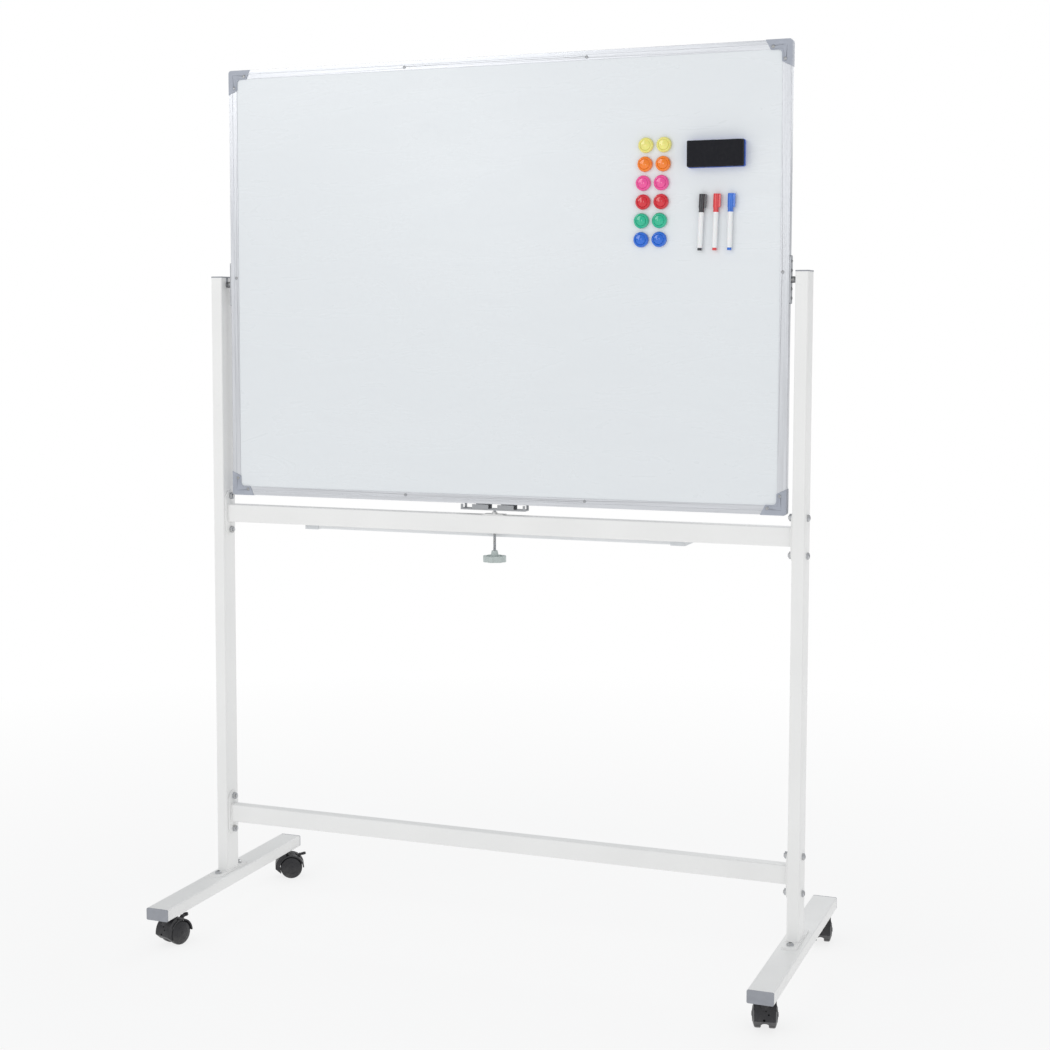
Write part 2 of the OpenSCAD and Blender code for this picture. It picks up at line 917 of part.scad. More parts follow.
// Star knob moulded onto the lower end of the screw
module clamp_knob() {
    hub_r = 8;
    rim_in = knob_d / 2 - rim_wall;
    color("darkseagreen")
    difference() {
        union() {
            // rim
            translate([0, 0, knob_bottom])
                difference() {
                    cylinder(d = knob_d, h = knob_rim_h);
                    translate([0, 0, -1])
                        cylinder(r = rim_in, h = knob_rim_h + 2);
                }
            // hub
            translate([0, 0, knob_bottom])
                cylinder(r = hub_r, h = knob_rim_h + 2);
            translate([0, 0, knob_bottom + knob_rim_h + 2])
                cylinder(r1 = hub_r, r2 = hub_r * 0.75, h = knob_hub_h - knob_rim_h - 2);
            // spokes
            for (i = [0:knob_spokes - 1])
                rotate([0, 0, i * 360 / knob_spokes])
                    translate([0, -2, knob_bottom + 1])
                        cube([rim_in + 1, 4, knob_rim_h - 2]);
        }
        // finger scallops
        for (i = [0:knob_lobes - 1])
            rotate([0, 0, (i + 0.5) * 360 / knob_lobes])
                translate([knob_d / 2 + 5, 0, knob_bottom - 1])
                    cylinder(r = 7.5, h = knob_rim_h + 2);
        // room for the rod
        translate([0, 0, knob_bottom + 2])
            cylinder(d = screw_d, h = knob_hub_h);
    }
}

// Threaded bush through the crossbar, with its plate and nut on top
module clamp_bush() {
    color("white")
        difference() {
            union() {
                translate([-bush_plate_l / 2, -bush_plate_w / 2, upper_bar_top])
                    cube([bush_plate_l, bush_plate_w, bush_plate_t]);
                translate([0, 0, upper_bar_top])
                    cylinder(d = bush_nut_d, h = bush_plate_t + bush_nut_h, $fn = 6);
                translate([0, 0, upper_bar_top - bar_h])
                    cylinder(d = bush_d, h = bar_h + 1);
            }
            translate([0, 0, upper_bar_top - bar_h - 1])
                cylinder(d = screw_d + 2 * screw_fit, h = bar_h + bush_plate_t + bush_nut_h + 2);
        }
}

// ---------- casters ----------

// Puts its children, drawn with the stem at the origin, at one caster
module at_caster(i) {
    c = CASTERS[i];
    translate([c[0] * post_x, c[1] * stem_y, 0])
        rotate([0, 0, c[2]])
            children();
}

module caster_stems() {
    color("silver")
        for (i = [0:3])
            at_caster(i) {
                translate([0, 0, hood_top - stem_depth + 0.5])
                    cylinder(d = stem_d, h = stem_depth);
                translate([0, 0, hood_top + 0.5])
                    cylinder(d = collar_d, h = caster_h - hood_top - 0.5);
                translate([0, 0, caster_h - 0.5])
                    cylinder(d = stem_thread_d, h = tube_wall + weld_nut_h + 1.5);
            }
}

// Slice of a disc about the wheel centre, in the Y-Z plane
module slice(r, from, to) {
    reach = 2 * r;
    mid = (from + to) / 2;
    translate([caster_trail, wheel_r])
        intersection() {
            circle(r = r, $fn = 96);
            polygon([[0, 0],
                reach * [cos(from), sin(from)],
                reach * [cos((from + mid) / 2), sin((from + mid) / 2)],
                reach * [cos(mid), sin(mid)],
                reach * [cos((to + mid) / 2), sin((to + mid) / 2)],
                reach * [cos(to), sin(to)]]);
        }
}

module hood() {
    lug_len = sqrt(pow(lug_y - caster_trail, 2) + pow(lug_z - wheel_r, 2));
    lug_turn = atan2(lug_z - wheel_r, lug_y - caster_trail);
    boss_low = wheel_r + fender_in * 0.7;
    color("#333333")
        difference() {
            union() {
                difference() {
                    union() {
                        // fender over the wheels
                        along_x(fender_w)
                            slice(fender_out, 2, 150);
                        // stem housing, sloping in at its foot
                        along_x(housing_w) {
                            slice(housing_out, 112, 183);
                            translate([caster_trail, wheel_r])
                                polygon([[0, 0],
                                    (housing_out - 0.1) * [cos(178), sin(178)],
                                    (housing_out - 0.1) * [cos(183), sin(183)],
                                    (fender_in + 1.2) * [cos(207), sin(207)]]);
                        }
                        // stem boss
                        translate([0, 0, boss_low])
                            cylinder(d = stem_boss_d, h = hood_top - boss_low);
                    }
                    // room for the wheels
                    translate([0, caster_trail, wheel_r])
                        rod_x(2 * fender_in, fender_w + 4);
                    // slot of the brake lever
                    along_x(tail_w + 2)
                        slice(fender_out + 2, 28, 72);
                }
                // web between the wheels
                along_x(web_w) {
                    translate([caster_trail, wheel_r])
                        circle(r = 14);
                    translate([caster_trail, wheel_r])
                        rotate(135)
                            translate([0, -8])
                                square([fender_in + 1, 16]);
                }
                // lug of the brake
                along_x(lug_w) {
                    translate([lug_y, lug_z])
                        circle(r = 4);
                    translate([caster_trail, wheel_r])
                        rotate(lug_turn)
                            translate([0, -3])
                                square([lug_len, 6]);
                }
            }
            // stem socket
            translate([0, 0, hood_top - stem_depth])
                cylinder(d = stem_d + 2 * run_fit, h = stem_depth + 1);
            // axle bearing
            translate([0, caster_trail, wheel_r])
                rod_x(axle_d + 2 * run_fit, web_w + 2);
            // brake pin hole
            translate([0, lug_y, lug_z])
                rod_x(brake_pin_d + 2 * run_fit, lug_w + 2);
            // arch in the front wall
            translate([0, caster_trail - housing_out + 10, 9])
                rod_y(16, 30);
            // moulding holes in the front wall
            for (h = [[1.5, 42, 3], [6.5, 36, 3], [-1.5, 26, 4.5]])
                translate([h[0], caster_trail - housing_out, h[1]])
                    rod_y(h[2], 13);
        }
}

module wheels() {
    inner = wheel_gap / 2;
    outer = inner + wheel_w;
    bore_r = axle_d / 2;
    bore_end = outer - 3;
    shoulder = outer - wheel_dome;
    color("#2b2b2e")
        for (side = SIDES)
            translate([0, caster_trail, wheel_r])
                rotate([0, side * 90, 0])
                    rotate_extrude($fn = 96)
                        polygon([[bore_r, inner], [wheel_r - 1.5, inner],
                            [wheel_r, inner + 1.5], [wheel_r, shoulder - 3],
                            [wheel_r - 0.7, shoulder - 1.2], [wheel_r - 2.2, shoulder],
                            [wheel_r * 0.74, outer - wheel_dome * 0.66],
                            [wheel_r * 0.55, outer - wheel_dome * 0.36],
                            [wheel_r * 0.3, outer - wheel_dome * 0.11], [0, outer],
                            [0, bore_end], [bore_r, bore_end]]);
}

module axle() {
    color("silver")
        translate([0, caster_trail, wheel_r])
            rod_x(axle_d, wheel_gap + 2 * (wheel_w - 3.4));
}

// Brake lever: fork on a pin, and a tail that rises through the fender's slot
module brake() {
    cheek_in = lug_w / 2 + fork_gap;
    cheek_out = wheel_gap / 2 - 0.7;
    color("#222222")
        translate([0, lug_y, lug_z]) {
            rod_x(brake_pin_d, 2 * cheek_out);
            for (side = SIDES)
                translate([side * (cheek_in + cheek_out) / 2, 0, 0])
                    along_x(cheek_out - cheek_in) {
                        circle(r = 4);
                        rotate(tail_rise)
                            translate([0, -arm_t / 2])
                                square([arm_l, arm_t]);
                    }
            // bridge between the cheeks
            along_x(2 * cheek_out)
                rotate(tail_rise)
                    translate([arm_l - 1.2, -arm_t / 2])
                        square([1.2, arm_t]);
            along_x(tail_w) {
                rotate(tail_rise) {
                    translate([arm_l - 1.2, -arm_t / 2])
                        square([tail_bend - arm_l + 1.2, arm_t]);
                    translate([tail_bend, 0])
                        circle(r = arm_t / 2);
                }
                translate(tail_bend * [cos(tail_rise), sin(tail_rise)])
                    rotate(tip_rise)
                        translate([0, -2])
                            square([tail_tip, 4]);
            }
            // broad tip of the tail
            translate([0, tail_bend * cos(tail_rise), tail_bend * sin(tail_rise)])
                rotate([tip_rise, 0, 0])
                    translate([0, tail_tip, 0])
                        cylinder(d = tail_w + 3, h = 4, center = true);
        }
}

// ---------- accessories ----------

module magnets(row) {
    for (col = [0, 1])
        translate([magnet_x + MAGNET_SHIFT[row] + col * magnet_pitch, front_face,
                magnet_z - row * magnet_pitch])
            rotate([90, 0, 0])
                rotate_extrude($fn = 72)
                    polygon([[0, 0], [magnet_d / 2 - 0.8, 0], [magnet_d / 2, 0.8],
                        [magnet_d / 2, magnet_h * 0.5],
                        [magnet_d / 2 - 0.7, magnet_h * 0.78],
                        [magnet_d / 2 - 2, magnet_h * 0.95],
                        [magnet_d / 2 - 3.2, magnet_h],
                        [magnet_d / 2 - 4.4, magnet_h * 0.93],
                        [magnet_d / 2 - 5.2, magnet_h * 0.82],
                        [0, magnet_h * 0.88]]);
}

module eraser_body() {
    color("royalblue")
        translate([eraser_x, front_face - eraser_back_t / 2, eraser_z])
            rotate([90, 0, 0])
                linear_extrude(eraser_back_t, center = true)
                    rounded(eraser_l + 2, eraser_h + 1, 4);
}

module eraser_felt() {
    color("#14161f")
        translate([eraser_x, front_face - eraser_back_t - eraser_felt_t / 2, eraser_z])
            rotate([90, 0, 0])
                linear_extrude(eraser_felt_t, center = true)
                    rounded(eraser_l, eraser_h, 3);
}

// Places its children along marker i, hanging from the origin down -Z
module at_marker(i) {
    translate([marker_x + i * marker_pitch, front_face - marker_cap_d / 2, marker_top])
        rotate([0, MARKER_LEAN[i], 0])
            children();
}

module marker_barrels() {
    skirt = marker_cap_l + marker_skirt_l;
    body = marker_l - skirt - marker_plug_l;
    color("white")
        for (i = [0:2])
            at_marker(i)
                translate([0, 0, -skirt - body])
                    cylinder(d = marker_d, h = body);
}

module marker_cap(i) {
    at_marker(i) {
        // cap with its magnet strip
        translate([0, 0, -marker_cap_l])
            cylinder(d = marker_cap_d - 0.2, h = marker_cap_l);
        translate([marker_cap_d / 2 - 1, -2.5, -marker_cap_l])
            cube([marker_clip, 5, marker_cap_l]);
        // skirt with a groove around it
        translate([0, 0, -marker_cap_l - marker_skirt_l])
            difference() {
                cylinder(d = marker_d + 0.6, h = marker_skirt_l);
                translate([0, 0, marker_skirt_l * 0.4])
                    difference() {
                        cylinder(d = marker_d + 2, h = 1.2);
                        cylinder(d = marker_d - 0.6, h = 1.2);
                    }
            }
        // end plug
        translate([0, 0, -marker_l])
            cylinder(d = marker_d - 1.6, h = marker_plug_l);
    }
}

foot(-1);  // left_foot
foot(1);  // right_foot
foot_end_caps();
post(-1);  // left_post
post(1);  // right_post
post_base_plates();
base_bolts();
post_top_caps();
upper_crossbar();
lower_crossbar();
crossbar_end_plates();
crossbar_bolts();
crossbar_nuts();
tray();
tray_end_caps();
tray_screws();
clamp_bush();
caster_stems();
front_sheet();
back_sheet();
board_core();
top_rail();
bottom_rail();
side_rails();
corner_caps();
frame_screws();
pivot_plates();
pivot_plate_screws();
pivot_pins();
color("khaki") magnets(0);  // yellow_magnets
color("darkorange") magnets(1);  // orange_magnets
color("hotpink") magnets(2);  // pink_magnets
color("crimson") magnets(3);  // red_magnets
color("mediumseagreen") magnets(4);  // green_magnets
color("dodgerblue") magnets(5);  // blue_magnets
eraser_body();
eraser_felt();
marker_barrels();
color("#26262a") marker_cap(0);  // black_marker_cap
color("tomato") marker_cap(1);  // red_marker_cap
color("dodgerblue") marker_cap(2);  // blue_marker_cap
clamp_channel();
clamp_screw();
clamp_knob();
at_caster(0) hood();  // front_left_hood
at_caster(0) wheels();  // front_left_wheels
at_caster(0) axle();  // front_left_axle
at_caster(0) brake();  // front_left_brake
at_caster(1) hood();  // back_left_hood
at_caster(1) wheels();  // back_left_wheels
at_caster(1) axle();  // back_left_axle
at_caster(1) brake();  // back_left_brake
at_caster(2) hood();  // front_right_hood
at_caster(2) wheels();  // front_right_wheels
at_caster(2) axle();  // front_right_axle
at_caster(2) brake();  // front_right_brake
at_caster(3) hood();  // back_right_hood
at_caster(3) wheels();  // back_right_wheels
at_caster(3) axle();  // back_right_axle
at_caster(3) brake();  // back_right_brake
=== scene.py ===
import bpy
import bmesh
import json
import math
from mathutils import Vector, Matrix, noise


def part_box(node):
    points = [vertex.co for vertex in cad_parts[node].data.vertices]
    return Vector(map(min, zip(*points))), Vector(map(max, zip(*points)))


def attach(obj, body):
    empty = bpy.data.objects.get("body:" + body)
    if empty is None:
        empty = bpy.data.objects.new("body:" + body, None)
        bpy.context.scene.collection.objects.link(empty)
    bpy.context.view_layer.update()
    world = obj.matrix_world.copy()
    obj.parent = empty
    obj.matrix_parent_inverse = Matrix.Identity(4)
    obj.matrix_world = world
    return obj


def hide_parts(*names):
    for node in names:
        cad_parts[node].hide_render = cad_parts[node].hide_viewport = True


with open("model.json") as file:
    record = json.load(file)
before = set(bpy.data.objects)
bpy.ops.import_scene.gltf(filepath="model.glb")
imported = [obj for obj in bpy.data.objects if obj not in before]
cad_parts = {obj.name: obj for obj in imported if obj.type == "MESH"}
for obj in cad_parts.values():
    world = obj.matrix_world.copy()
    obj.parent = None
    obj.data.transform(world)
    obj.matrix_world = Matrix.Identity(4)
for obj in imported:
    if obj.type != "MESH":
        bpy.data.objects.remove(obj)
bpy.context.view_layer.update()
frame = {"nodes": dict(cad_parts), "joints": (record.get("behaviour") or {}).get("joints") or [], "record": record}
NODES = frame["nodes"]
SLOT_OF = {p["node"]: p["material_slot"] for p in frame["record"]["subparts"]}
JOINT = {j["name"]: j for j in frame["joints"]}

# ---------------------------------------------------------------- camera

CAM_POS = Vector((1.3519, -3.5631, 1.2984))
YAW, PITCH, ROLL = math.radians(22.422), math.radians(-4.724), math.radians(-0.088)
FOCAL, PPX, PPY = 1873.8, -83.9, -51.2


def add_camera():
    fw = Vector((-math.sin(YAW) * math.cos(PITCH), math.cos(YAW) * math.cos(PITCH), math.sin(PITCH)))
    rt = Vector((math.cos(YAW), math.sin(YAW), 0))
    up = rt.cross(fw)
    r2 = math.cos(ROLL) * rt + math.sin(ROLL) * up
    u2 = -math.sin(ROLL) * rt + math.cos(ROLL) * up
    cam = bpy.data.cameras.new("camera")
    cam.sensor_width = 36
    cam.lens = FOCAL * 36 / 1050
    cam.shift_x = -PPX / 1050
    cam.shift_y = PPY / 1050
    cam.clip_end = 200
    ob = bpy.data.objects.new("camera", cam)
    m = Matrix((r2, u2, -fw)).transposed().to_4x4()
    m.translation = CAM_POS
    ob.matrix_world = m
    bpy.context.scene.collection.objects.link(ob)
    bpy.context.scene.camera = ob


add_camera()

# ---------------------------------------------------------------- materials


def lin(r, g, b):
    """Linear colour from 0-255 display values."""
    def f(c):
        c = c / 255
        return c / 12.92 if c <= 0.04045 else ((c + 0.055) / 1.055) ** 2.4
    return (f(r), f(g), f(b), 1.0)


class Graph:
    """A small helper for building one material's nodes."""

    def __init__(self, name):
        self.mat = bpy.data.materials.new(name)
        self.mat.use_nodes = True
        self.nt = self.mat.node_tree
        self.nt.nodes.clear()
        self.out = self.node("ShaderNodeOutputMaterial")
        self.bsdf = self.node("ShaderNodeBsdfPrincipled")
        self.link(self.bsdf.outputs[0], self.out.inputs[0])
        self.coord = self.node("ShaderNodeTexCoord").outputs["Object"]

    def node(self, kind, **props):
        n = self.nt.nodes.new(kind)
        for k, v in props.items():
            setattr(n, k, v)
        return n

    def link(self, a, b):
        self.nt.links.new(a, b)

    def mapped(self, scale=(1, 1, 1), rot=(0, 0, 0)):
        m = self.node("ShaderNodeMapping")
        m.inputs["Scale"].default_value = scale
        m.inputs["Rotation"].default_value = rot
        self.link(self.coord, m.inputs["Vector"])
        return m.outputs[0]

    def noise(self, scale, detail=3, rough=0.55, vec=None, distortion=0.0):
        n = self.node("ShaderNodeTexNoise")
        n.inputs["Scale"].default_value = scale
        n.inputs["Detail"].default_value = detail
        n.inputs["Roughness"].default_value = rough
        n.inputs["Distortion"].default_value = distortion
        self.link(vec or self.coord, n.inputs["Vector"])
        return n.outputs["Fac"]

    def voronoi(self, scale, vec=None):
        n = self.node("ShaderNodeTexVoronoi", feature="F1")
        n.inputs["Scale"].default_value = scale
        self.link(vec or self.coord, n.inputs["Vector"])
        return n.outputs["Distance"]

    def range(self, fac, a, b, lo, hi):
        n = self.node("ShaderNodeMapRange")
        for k, v in zip(("From Min", "From Max", "To Min", "To Max"), (a, b, lo, hi)):
            n.inputs[k].default_value = v
        self.link(fac, n.inputs["Value"])
        return n.outputs["Result"]

    def mix(self, fac, a, b, blend="MIX"):
        n = self.node("ShaderNodeMix", data_type="RGBA", blend_type=blend)
        for sock, v in ((n.inputs[0], fac), (n.inputs[6], a), (n.inputs[7], b)):
            if hasattr(v, "is_linked"):
                self.link(v, sock)
            else:
                sock.default_value = v
        return n.outputs[2]

    def math(self, op, a, b=0.5, c=0.0):
        n = self.node("ShaderNodeMath", operation=op)
        for sock, v in zip(n.inputs, (a, b, c)):
            if hasattr(v, "is_linked"):
                self.link(v, sock)
            else:
                sock.default_value = v
        return n.outputs[0]

    def height(self):
        """World-up position on the piece, for dust near the floor."""
        n = self.node("ShaderNodeSeparateXYZ")
        self.link(self.coord, n.inputs[0])
        return n.outputs["Z"]

    def bump(self, height, distance, strength=1.0, under=None):
        n = self.node("ShaderNodeBump")
        n.inputs["Strength"].default_value = strength
        n.inputs["Distance"].default_value = distance
        self.link(height, n.inputs["Height"])
        if under is not None:
            self.link(under, n.inputs["Normal"])
        return n.outputs[0]

    def finish(self, color=None, rough=None, normal=None, **sockets):
        b = self.bsdf
        if color is not None:
            self.link(color, b.inputs["Base Color"])
        if rough is not None:
            if hasattr(rough, "is_linked"):
                self.link(rough, b.inputs["Roughness"])
            else:
                b.inputs["Roughness"].default_value = rough
        if normal is not None:
            self.link(normal, b.inputs["Normal"])
        for k, v in sockets.items():
            b.inputs[k.replace("_", " ")].default_value = v
        self.mat.diffuse_color = (0.8, 0.8, 0.8, 1)
        return self.mat


def tone(c, k):
    return (min(1, c[0] * k), min(1, c[1] * k), min(1, c[2] * k), 1)


def powder_coat(name, c, scuffed=False):
    """White powder coat: a fine orange peel, a slight drift of tone, and optional scuffs."""
    g = Graph(name)
    drift = g.noise(5, 2)
    color = g.mix(g.range(drift, 0.3, 0.7, 0, 1), tone(c, 0.965), tone(c, 1.015))
    speck = g.noise(420, 2, 0.6)
    color = g.mix(g.range(speck, 0.66, 0.78, 0, 0.22), color, tone(c, 0.86))
    rough = g.range(g.noise(60, 3), 0.3, 0.7, 0.34, 0.44)
    if scuffed:
        scratch = g.noise(34, 6, 0.7, g.mapped((1.0, 6.0, 3.0), (0.0, 0.0, 0.35)), 0.4)
        mask = g.range(scratch, 0.64, 0.74, 0, 1)
        low = g.range(g.height(), 0.12, 0.064, 0, 1)
        amount = g.math("MULTIPLY", mask, g.math("ADD", g.math("MULTIPLY", low, 0.28), 0.07))
        color = g.mix(amount, color, lin(150, 150, 152))
        rough = g.math("ADD", rough, g.math("MULTIPLY", mask, 0.1))
    peel = g.noise(900, 2, 0.5)
    fine = g.noise(2600, 1, 0.5)
    n = g.bump(peel, 0.00006, 0.9)
    n = g.bump(fine, 0.00002, 0.6, n)
    return g.finish(color, rough, n, Coat_Weight=0.12, Coat_Roughness=0.25)


def enamel(name, c):
    """Glossy writing enamel: a very slow waviness, faint wipe traces and specks of ink dust."""
    g = Graph(name)
    wipe = g.noise(3.2, 5, 0.6, g.mapped((1.0, 1.0, 4.2), (0.0, 0.42, 0.0)), 1.6)
    fine_wipe = g.noise(22, 4, 0.65, g.mapped((0.5, 1.0, 5.0), (0.0, -0.5, 0.0)), 0.8)
    color = g.mix(g.range(wipe, 0.35, 0.7, 0, 1), tone(c, 1.006), tone(c, 0.990))
    color = g.mix(g.range(fine_wipe, 0.6, 0.75, 0, 0.14), color, lin(214, 219, 226))
    dust = g.voronoi(70)
    gate = g.range(g.noise(9, 3), 0.55, 0.7, 0, 1)
    specks = g.math("MULTIPLY", g.range(dust, 0.05, 0.02, 0, 0.35), gate)
    color = g.mix(specks, color, lin(176, 182, 196))
    rough = g.math("ADD", g.range(wipe, 0.3, 0.7, 0.25, 0.31), g.range(fine_wipe, 0.55, 0.75, 0.0, 0.05))
    wave = g.noise(7, 2, 0.4)
    peel = g.noise(240, 2, 0.5)
    n = g.bump(wave, 0.0007, 0.5)
    n = g.bump(peel, 0.000015, 0.7, n)
    return g.finish(color, rough, n, Coat_Weight=0.5, Coat_Roughness=0.3, Specular_IOR_Level=0.5)


def drawn_metal(name, c, along, rough=0.3, lines=520, depth=0.00003, metallic=1.0):
    """Extruded or rolled metal with fine lines along one axis."""
    g = Graph(name)
    scale = [1.0, 1.0, 1.0]
    scale[along] = 0.012
    vec = g.mapped(tuple(scale))
    streak = g.noise(lines, 3, 0.6, vec)
    wide = g.noise(70, 2, 0.5, vec)
    spots = g.noise(26, 4, 0.6)
    color = g.mix(g.range(streak, 0.3, 0.7, 0, 1), tone(c, 0.9), tone(c, 1.06))
    color = g.mix(g.range(spots, 0.6, 0.75, 0, 0.3), color, tone(c, 0.84))
    r = g.math("ADD", g.range(streak, 0.3, 0.7, rough - 0.05, rough + 0.07),
               g.range(wide, 0.3, 0.7, -0.02, 0.03))
    n = g.bump(streak, depth, 0.8)
    return g.finish(color, r, n, Metallic=metallic, Anisotropic=0.35)


def zinc(name, c, rough=0.3):
    """Bright zinc plating: small spangles and a warm and cool drift."""
    g = Graph(name)
    cell = g.voronoi(900)
    drift = g.noise(240, 3)
    color = g.mix(g.range(cell, 0.1, 0.6, 0, 1), tone(c, 1.06), tone(c, 0.88))
    color = g.mix(g.range(drift, 0.45, 0.7, 0, 0.35), color, lin(196, 190, 172))
    r = g.range(g.noise(500, 4), 0.3, 0.7, rough - 0.07, rough + 0.1)
    n = g.bump(g.noise(1500, 3), 0.00003, 0.8)
    return g.finish(color, r, n, Metallic=1.0)


def moulded(name, c, rough=0.45, grain=1600, depth=0.00005, var=0.05, dust=0.0, dust_top=0.07, coat=0.0):
    """Injection-moulded plastic: eroded grain, slow flow marks, and dust near the floor."""
    g = Graph(name)
    flow = g.noise(38, 3, 0.5, None, 1.2)
    color = g.mix(g.range(flow, 0.3, 0.7, 0, 1), tone(c, 1 - var), tone(c, 1 + var))
    r = g.range(g.noise(120, 4, 0.6), 0.3, 0.7, rough - 0.05, rough + 0.07)
    if dust:
        settle = g.math("MULTIPLY", g.range(g.height(), dust_top, 0.0, 0.15, 1.0),
                        g.range(g.noise(75, 6, 0.7), 0.42, 0.68, 0, 1))
        amount = g.math("MULTIPLY", settle, dust)
        color = g.mix(amount, color, lin(150, 146, 140))
        r = g.math("ADD", r, g.math("MULTIPLY", amount, 0.3))
    erosion = g.noise(grain, 2, 0.6)
    n = g.bump(erosion, depth, 0.9)
    n = g.bump(flow, 0.00012, 0.3, n)
    sockets = {"Specular_IOR_Level": 0.5}
    if coat:
        sockets.update(Coat_Weight=coat, Coat_Roughness=0.08)
    return g.finish(color, r, n, **sockets)


def glossy(name, c, rough=0.1, var=0.05):
    """Glossy coloured plastic with faint scratches and a little light inside it."""
    g = Graph(name)
    flow = g.noise(90, 3, 0.5, None, 1.0)
    color = g.mix(g.range(flow, 0.3, 0.7, 0, 1), tone(c, 1 - var), tone(c, 1 + var))
    scratch = g.noise(160, 5, 0.7, g.mapped((1.0, 1.0, 9.0), (0.0, 0.6, 0.0)), 0.5)
    r = g.range(scratch, 0.55, 0.8, rough, rough + 0.12)
    n = g.bump(scratch, 0.000015, 0.6)
    n = g.bump(flow, 0.0001, 0.25, n)
    return g.finish(color, r, n, Coat_Weight=0.6, Coat_Roughness=0.03,
                    Subsurface_Weight=0.06, Subsurface_Scale=0.002)


def felt(name, c):
    """Pressed felt: tangled fibres, pilling and pale ink dust."""
    g = Graph(name)
    fibre = g.noise(900, 6, 0.75, g.mapped((1.0, 1.0, 1.6)), 1.4)
    clump = g.noise(130, 4, 0.6, None, 0.6)
    color = g.mix(g.range(fibre, 0.35, 0.7, 0, 1), tone(c, 0.6), tone(c, 1.7))
    color = g.mix(g.range(clump, 0.55, 0.75, 0, 0.3), color, tone(c, 2.6))
    r = g.range(clump, 0.3, 0.7, 0.88, 1.0)
    n = g.bump(clump, 0.0006, 0.7)
    n = g.bump(fibre, 0.0005, 1.0, n)
    return g.finish(color, r, n, Sheen_Weight=0.08, Sheen_Roughness=0.5)


def fibreboard(name, c):
    g = Graph(name)
    fibre = g.noise(300, 6, 0.7, g.mapped((0.3, 1.0, 1.0)), 0.8)
    color = g.mix(g.range(fibre, 0.3, 0.7, 0, 1), tone(c, 0.75), tone(c, 1.2))
    return g.finish(color, g.range(fibre, 0.3, 0.7, 0.75, 0.95), g.bump(fibre, 0.0002, 0.8))


WHITE = lin(240, 240, 239)
M = {
    "white_powder_coat": powder_coat("white powder coat", WHITE),
    "white_scuffed": powder_coat("white powder coat, scuffed", WHITE, True),
    "tray_paint": powder_coat("tray enamel", lin(232, 234, 236)),
    "tray_cap_plastic": moulded("tray end plastic", lin(214, 217, 220), 0.42),
    "grey_end_plastic": moulded("grey end plastic", lin(152, 155, 162), 0.48, dust=0.25, dust_top=0.09),
    "zinc_bolts": zinc("zinc bolts", lin(196, 198, 202), 0.28),
    "small_screws": zinc("small screws", lin(176, 178, 182), 0.32),
    "caster_stem_zinc": zinc("stem zinc", lin(190, 192, 196), 0.26),
    "writing_enamel": enamel("writing enamel", lin(229, 233, 236)),
    "fibre_core": fibreboard("fibreboard", lin(170, 140, 105)),
    "frame_x": drawn_metal("frame aluminium, level", lin(214, 216, 220), 0, 0.33),
    "frame_z": drawn_metal("frame aluminium, upright", lin(214, 216, 220), 2, 0.33),
    "corner_plastic": moulded("corner plastic", lin(168, 173, 184), 0.42),
    "pivot_plate_steel": drawn_metal("pivot plate steel", lin(184, 186, 190), 2, 0.34, 900),
    "pivot_pin_steel": zinc("pivot pin steel", lin(150, 152, 156), 0.36),
    "magnet_yellow": glossy("yellow magnet", lin(238, 230, 128)),
    "magnet_orange": glossy("orange magnet", lin(246, 128, 16)),
    "magnet_pink": glossy("pink magnet", lin(240, 78, 156)),
    "magnet_red": glossy("red magnet", lin(214, 22, 42)),
    "magnet_green": glossy("green magnet", lin(24, 186, 146)),
    "magnet_blue": glossy("blue magnet", lin(18, 104, 214)),
    "eraser_plastic": moulded("eraser back", lin(46, 92, 196), 0.3, coat=0.2),
    "eraser_felt": felt("eraser felt", lin(13, 14, 22)),
    "marker_white": glossy("marker barrel", lin(240, 241, 242), 0.2, 0.015),
    "marker_black": glossy("black marker cap", lin(40, 40, 46), 0.22, 0.1),
    "marker_red": glossy("red marker cap", lin(224, 62, 66), 0.22),
    "marker_blue": glossy("blue marker cap", lin(42, 112, 214), 0.22),
    "clamp_grey": drawn_metal("clamp channel steel", lin(168, 170, 173), 0, 0.42, 700, 0.00004),
    "clamp_rod_zinc": zinc("clamp rod zinc", lin(188, 190, 194), 0.27),
    "knob_plastic": moulded("knob plastic", lin(188, 197, 195), 0.46, 1300, 0.00006),
    "caster_nylon": moulded("caster hood nylon", lin(33, 33, 37), 0.42, 1500, 0.00007, 0.12, 0.1),
    "wheel_nylon": moulded("caster wheel nylon", lin(31, 31, 35), 0.34, 1500, 0.00004, 0.12, 0.2, 0.03),
    "axle_steel": zinc("axle steel", lin(186, 188, 192), 0.25),
    "brake_nylon": moulded("brake lever nylon", lin(30, 30, 34), 0.38, 1500, 0.00006, 0.12, 0.15),
}
FOR_NODE = {
    "left_foot": "white_scuffed", "right_foot": "white_scuffed",
    "left_post": "white_scuffed", "right_post": "white_scuffed",
    "post_base_plates": "white_scuffed", "lower_crossbar": "white_scuffed",
    "top_rail": "frame_x", "bottom_rail": "frame_x", "side_rails": "frame_z",
}


def give(ob, mat):
    if not ob.data.materials:
        ob.data.materials.append(mat)
    for i in range(len(ob.data.materials)):
        ob.data.materials[i] = mat


for name, ob in NODES.items():
    give(ob, M[FOR_NODE.get(name) or SLOT_OF[name]])

# ---------------------------------------------------------------- softened edges on the CAD pieces

